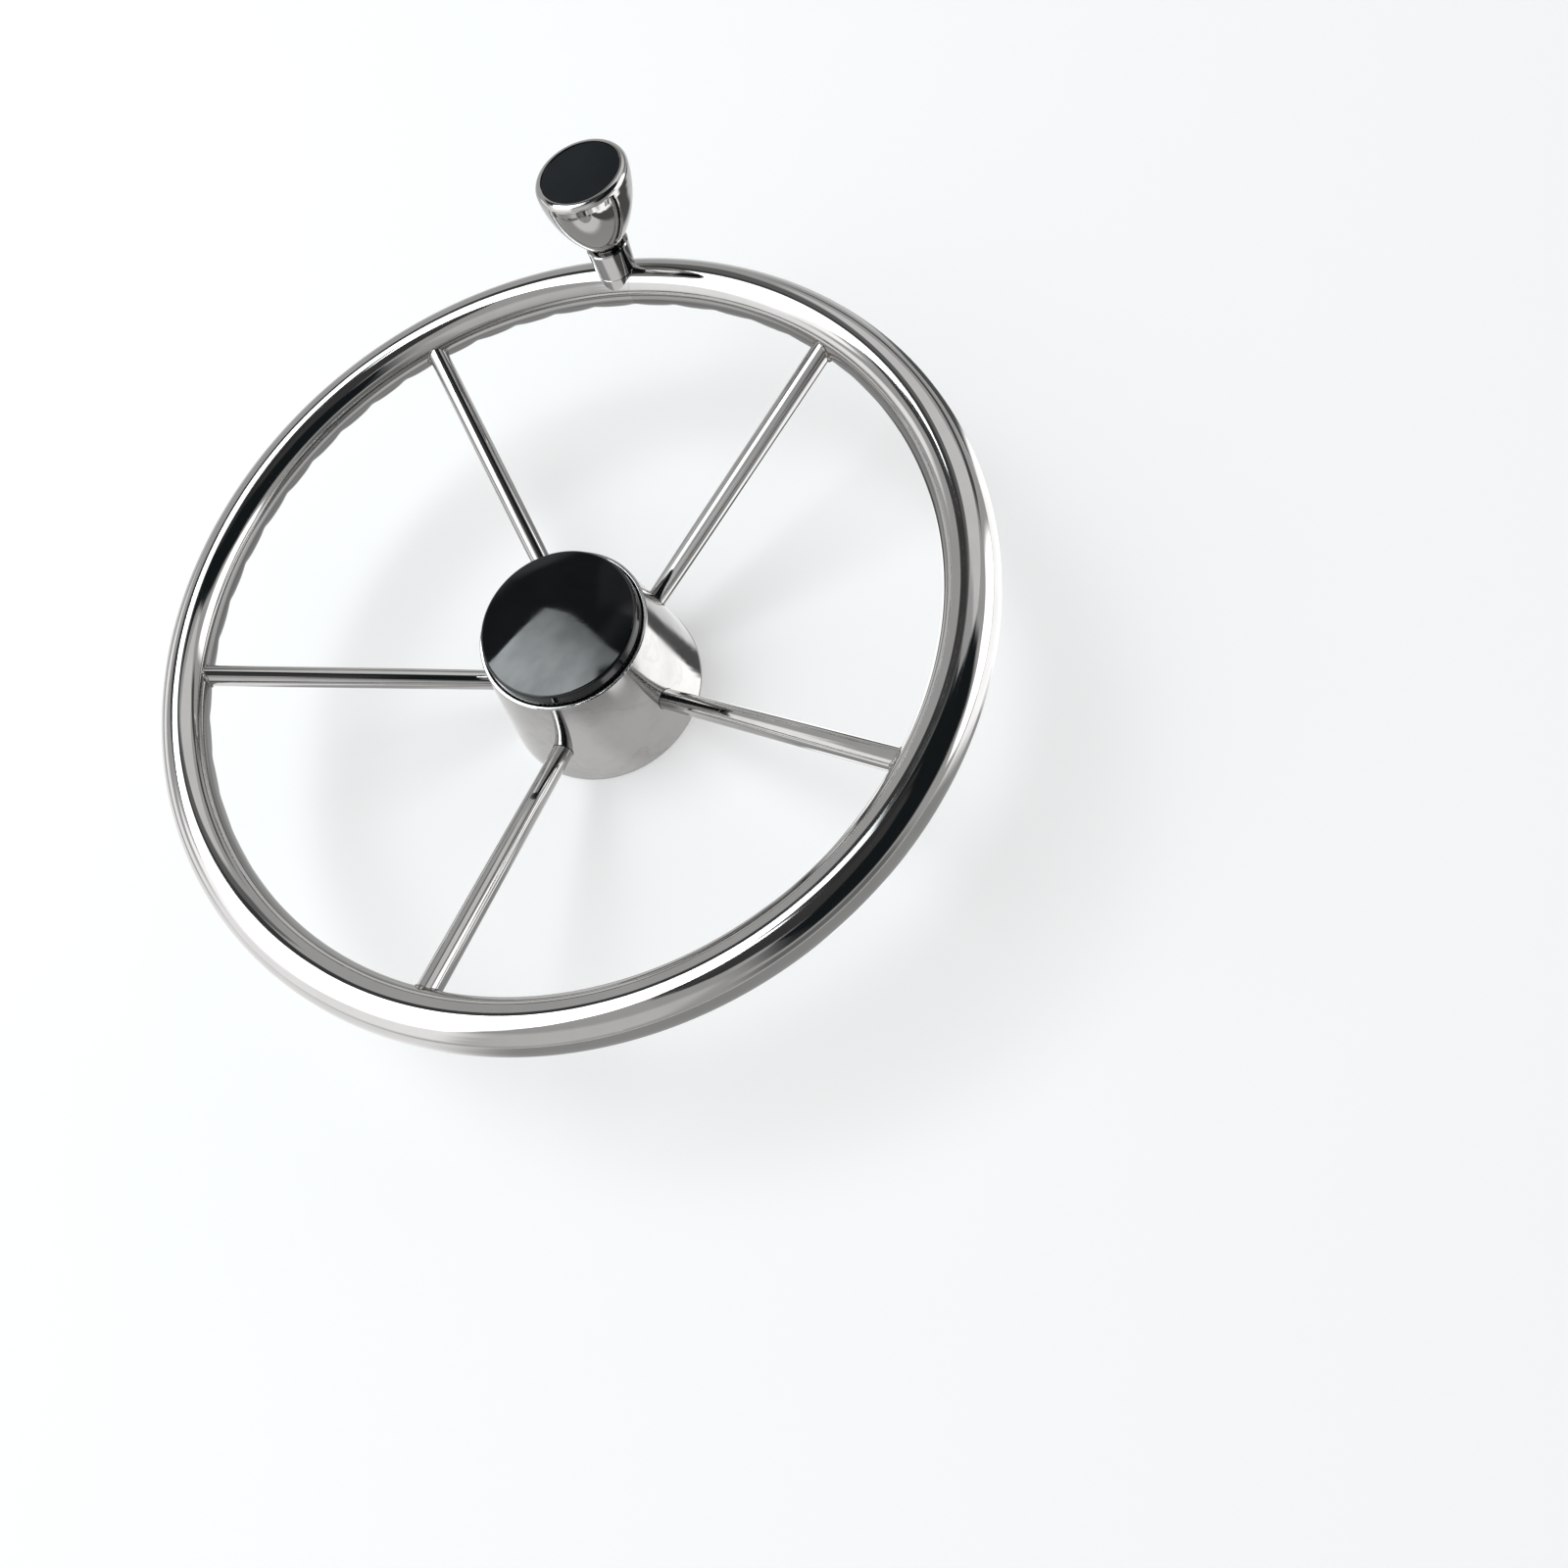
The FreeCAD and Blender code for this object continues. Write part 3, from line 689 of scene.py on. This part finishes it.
def add_band(name, path, strength, soft, tint=WHITE, nearer=0.0):
    """Curved card along a path of azimuth, elevation and half width in degrees."""
    corners = [direction(azimuth, elevation) for azimuth, elevation, _ in path]
    count = (len(path) - 1) * BAND_STEPS
    vertices = []
    places = []
    for i in range(count + 1):
        first = min(i // BAND_STEPS, len(path) - 2)
        share = i / BAND_STEPS - first
        out = corners[first].slerp(corners[first + 1], share)
        ahead = corners[first + 1] - corners[first]
        half = math.radians(path[first][2] * (1.0 - share) + path[first + 1][2] * share)
        across = out.cross(ahead).normalized()
        for side in BAND_SIDES:
            ray = out * math.cos(half * side) + across * math.sin(half * side)
            vertices.append(Vector((0.0, 0.0, RIM_Z)) + ray * (BAND_DISTANCE - nearer))
            places.extend((2.0 * i / count - 1.0, side, 0.0))
    faces = grid_faces(count + 1, len(BAND_SIDES), rows_close=False, columns_close=False)
    material = card_material(name, strength, tint, soft)
    card_object(name, vertices, faces, material, "card_place", places)


def add_walls():
    """Plain grey dome of the studio's walls and ceiling."""
    vertices = []
    for i in range(WALL_RINGS + 1):
        for j in range(WALL_SIDES):
            out = direction(360.0 * j / WALL_SIDES, 90.0 * i / WALL_RINGS)
            vertices.append(Vector((0.0, 0.0, FLOOR_Z)) + out * WALL_DISTANCE)
    faces = grid_faces(WALL_RINGS + 1, WALL_SIDES, rows_close=False)
    material, tree, output = new_material("studio_walls")
    glow = add_node(tree, "ShaderNodeEmission", Strength=WALL_GLOW)
    tree.links.new(glow.outputs[0], output.inputs["Surface"])
    card_object("studio_walls", vertices, faces, material)


def blend(value, low, high):
    """Smooth step from 0 to 1 between two values."""
    share = min(1.0, max(0.0, (value - low) / (high - low)))
    return share * share * (3.0 - 2.0 * share)


def between(first, second, share):
    """Value at a share of the way from one value to another."""
    return first + (second - first) * share


def side_glow(radius, near, ring, far):
    """Grey of one side of the low cards at a radius."""
    in_ring = blend(radius, *RING_RISE) * blend(radius, *RING_FALL)
    return near + (ring - near) * in_ring + (far - near) * blend(radius, *OUTSIDE_RISE)


def low_card_glow(x, y):
    """Brightness of the cards that lie round the wheel: a white one, its dark edge, greys."""
    radius = math.hypot(x, y)
    turn = math.degrees(math.atan2(y, x - EDGE_START))
    left = side_glow(radius, NEAR_LEFT, RING_LEFT, FAR_LEFT)
    if turn > 0.0:
        back = side_glow(radius, NEAR_BACK, RING_BACK, FAR_BACK)
        glow = between(back, left, blend(turn, *BACK_TO_LEFT))
    else:
        front = side_glow(radius, NEAR_FRONT, RING_FRONT, FAR_FRONT)
        glow = between(left, front, blend(turn, *LEFT_TO_FRONT))

    white_start = WHITE_FIRST + WHITE_SHIFT * blend(radius, *WHITE_SHIFT_RISE)
    white_start -= WHITE_RETURN * blend(radius, *WHITE_RETURN_RISE)
    near_corner = math.exp(-math.hypot(x - EDGE_START, y) / DARK_WIDER_REACH)
    under_rim = blend(radius, *DARK_WIDER_RISE) * blend(radius, *DARK_WIDER_FALL)
    dark_end = DARK_LAST + DARK_WIDER * (near_corner + under_rim)
    past_edge = blend(turn, *WHITE_TO_DARK)
    white = blend(turn, white_start, white_start + WHITE_SOFT) * (1.0 - past_edge)
    dark = past_edge * blend(turn, dark_end + DARK_SOFT, dark_end)
    glow = between(between(glow, WHITE_CARD, white), DARK_EDGE, dark)

    along = x * PATCH_RUN[0] + y * PATCH_RUN[1]
    aside = abs(y * PATCH_RUN[0] - x * PATCH_RUN[1])
    in_patch = blend(along, *PATCH_RISE) * blend(along, *PATCH_FALL) * blend(aside, *PATCH_SIDE)
    return between(glow, WHITE_CARD, in_patch)


def add_low_cards():
    """Cards on the floor round the wheel, that only the polished metal mirrors."""
    growth = LOW_CARDS_END / LOW_CARDS_START
    vertices = []
    glows = []
    for i in range(LOW_CARDS_RINGS + 1):
        radius = LOW_CARDS_START * growth ** (i / LOW_CARDS_RINGS)
        for j in range(LOW_CARDS_SIDES):
            a = 2.0 * math.pi * j / LOW_CARDS_SIDES
            x, y = radius * math.cos(a), radius * math.sin(a)
            vertices.append((x, y, FLOOR_Z + LOW_CARDS_LIFT))
            glows.append(low_card_glow(x, y))
    faces = grid_faces(LOW_CARDS_RINGS + 1, LOW_CARDS_SIDES, rows_close=False)
    material, tree, output = new_material("low_cards")
    glow = tree.nodes.new("ShaderNodeEmission")
    tree.links.new(attribute(tree, "card_glow", "Fac"), glow.inputs["Strength"])
    tree.links.new(glow.outputs[0], output.inputs["Surface"])
    card = card_object("low_cards", vertices, faces, material, "card_glow", glows)
    card.visible_diffuse = False
    card.visible_shadow = False
    card.visible_transmission = False


def add_bright_bands():
    """Lit walls, windows and panels that the steel mirrors."""
    path = [(192, 10, 20), (215, 16, 26), (240, 24, 28), (256, 26, 27)]
    add_band("left_wall", path, strength=1.5, soft=0.5)
    path = [(246, 24, 28), (264, 26, 28), (284, 27, 26), (300, 24, 18)]
    add_band("front_wall", path, strength=0.85, soft=0.4)
    path = [(158, 22, 7), (176, 15, 9), (196, 12, 9), (214, 10, 8)]
    add_band("left_low", path, strength=1.5, soft=0.4, nearer=0.05)
    path = [(176, 41, 5), (190, 36, 9), (206, 32, 11), (222, 30, 11)]
    add_band("under_softbox", path, strength=1.9, soft=0.5, nearer=0.05)
    path = [(0, 5, 5), (12, 10, 13), (30, 12, 20), (46, 12, 20)]
    add_band("window", path, strength=3.0, soft=0.25)
    path = [(50, 42, 16), (78, 44, 17), (103, 44, 16)]
    add_band("panel", path, strength=1.0, soft=0.15)


def add_dark_bands():
    """Dark flags, frames and the unlit end of the room."""
    path = [(60, 79, 5.5), (90, 78, 6.5), (120, 76, 7), (145, 79.5, 6.5)]
    add_band("top_shade", path, strength=0.05, soft=0.15, nearer=0.6)
    path = [(300, 8, 10), (325, 9, 11), (352, 8, 10)]
    add_band("low_flag", path, strength=0.25, soft=0.5)
    path = [(50, 36, 4), (56, 22, 5), (66, 14, 5), (84, 14, 4), (100, 18, 3)]
    add_band("window_frame", path, strength=0.1, soft=0.4, nearer=0.1)
    path = [(109, 26, 5), (110, 45, 6), (113, 60, 6)]
    add_band("panel_frame", path, strength=0.2, soft=0.3, nearer=0.1)
    path = [(108, 60, 12), (124, 52, 13), (140, 46, 9), (156, 45, 7), (172, 42, 5)]
    add_band("softbox_shade", path, strength=0.07, soft=0.2)
    path = [(298, 40, 10), (318, 41, 21), (340, 42, 23), (0, 46, 24), (18, 54, 19)]
    path += [(35, 61, 13), (60, 69, 7), (90, 71, 5.5), (112, 66, 5), (126, 58, 4)]
    add_band("dark_room", path, strength=0.02, soft=0.25, tint=(0.7, 0.9, 1.0), nearer=0.2)


def make_studio():
    """Softbox, ceiling, bands and low cards round the wheel, in front of grey walls."""
    add_walls()
    add_low_cards()
    add_card("softbox", azimuth=194.3, elevation=58.5, width=64.2, height=35.4, strength=3.0,
             roll=-39.5, tint=(0.92, 0.98, 1.0), mottle=0.3, crest=5.5)
    add_card("ceiling", azimuth=0, elevation=80, width=56, height=56, strength=0.07,
             soft=0.25, nearer=-0.3)
    add_bright_bands()
    add_dark_bands()


def seen_rays(tree):
    """1 for the rays by which the camera, metal and glass see a surface, and 0 for its light."""
    rays = tree.nodes.new("ShaderNodeLightPath")
    seen = math_node(tree, "MAXIMUM", rays.outputs["Is Camera Ray"], rays.outputs["Is Glossy Ray"])
    return math_node(tree, "MAXIMUM", seen, rays.outputs["Is Transmission Ray"])


def make_world():
    """White surroundings as the camera and the metal see them, and softer light from them."""
    world = bpy.data.worlds.new("studio")
    bpy.context.scene.world = world
    world.use_nodes = True
    world.cycles.sampling_method = "NONE"
    tree = world.node_tree
    tree.nodes.clear()
    output = tree.nodes.new("ShaderNodeOutputWorld")
    white = add_node(tree, "ShaderNodeBackground", Color=(*WHITE, 1.0), Strength=1.0)
    dim = add_node(tree, "ShaderNodeBackground", Color=(*WHITE, 1.0), Strength=WORLD_GLOW)
    mix = mixed_shader(tree, seen_rays(tree), dim, white)
    tree.links.new(mix.outputs[0], output.inputs["Surface"])


def floor_material():
    """Pale floor that looks white and keeps a soft shadow."""
    material, tree, output = new_material("studio_floor")
    plain = add_node(tree, "ShaderNodeBsdfDiffuse", Color=FLOOR_COLOUR)
    glow = add_node(tree, "ShaderNodeEmission", Strength=1.0)
    white = mixed_shader(tree, FLOOR_GLOW, plain, glow)
    mix = mixed_shader(tree, seen_rays(tree), plain, white)
    tree.links.new(mix.outputs[0], output.inputs["Surface"])
    return material


def make_floor():
    """Round floor under the wheel."""
    ring = []
    for i in range(FLOOR_SIDES):
        a = 2.0 * math.pi * i / FLOOR_SIDES
        ring.append((FLOOR_RADIUS * math.cos(a), FLOOR_RADIUS * math.sin(a), FLOOR_Z))
    floor = new_object("floor", ring, [tuple(range(FLOOR_SIDES))], floor_material())


def make_camera():
    """Camera at the photograph's angle."""
    data = bpy.data.cameras.new("camera")
    camera = bpy.data.objects.new("camera", data)
    bpy.context.scene.collection.objects.link(camera)
    back = -CAMERA_FORWARD.normalized()
    right = CAMERA_UP.cross(back).normalized()
    up = back.cross(right)
    turn = Matrix((right, up, back)).transposed().to_4x4()
    camera.matrix_world = Matrix.Translation(CAMERA_PLACE) @ turn
    data.sensor_width = SENSOR_WIDTH
    data.lens = SENSOR_WIDTH * FOCAL_PIXELS / IMAGE_SIDE
    data.shift_x = (IMAGE_SIDE / 2.0 - PRINCIPAL_POINT[0]) / IMAGE_SIDE
    data.shift_y = (PRINCIPAL_POINT[1] - IMAGE_SIDE / 2.0) / IMAGE_SIDE
    data.clip_start = 0.01
    data.clip_end = 50.0
    bpy.context.scene.camera = camera


def dress_nodes():
    """Materials of the nodes that show as they are."""
    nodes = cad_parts
    for i in range(SPOKE_COUNT):
        name = "spoke_%d" % (i + 1)
        steel = polished_steel(name + "_steel", rough=0.05, cloudiness=0.10,
                               line_places=spoke_places(i), wave=0.00004)
        dress(nodes[name], steel)
    knob_steel = polished_steel("knob_steel", rough=0.035, cloudiness=0.05)
    for name in ("knob_post", "knob_head", "knob_bolt", "knob_lower_washer", "knob_upper_washer"):
        dress(nodes[name], knob_steel)
    cap = moulded_plastic("cap_black", tint=(0.003, 0.0037, 0.0043), rough=0.045)
    insert = moulded_plastic("insert_black", tint=(0.0012, 0.0032, 0.0050), rough=0.2,
                             smear=0.2, peel_height=0.000004, gloss=0.18)
    bush = moulded_plastic("bush_plastic", tint=(0.5, 0.49, 0.45), rough=0.4)
    dress(nodes["hub_casting"], hub_material())
    dress(nodes["centre_cap"], cap)
    dress(nodes["knob_insert"], insert)
    dress(nodes["knob_bush"], bush)


make_camera()
make_world()
make_floor()
make_studio()
make_rim()
make_joints()
dress_nodes()

bpy.context.scene.view_settings.view_transform = "Standard"
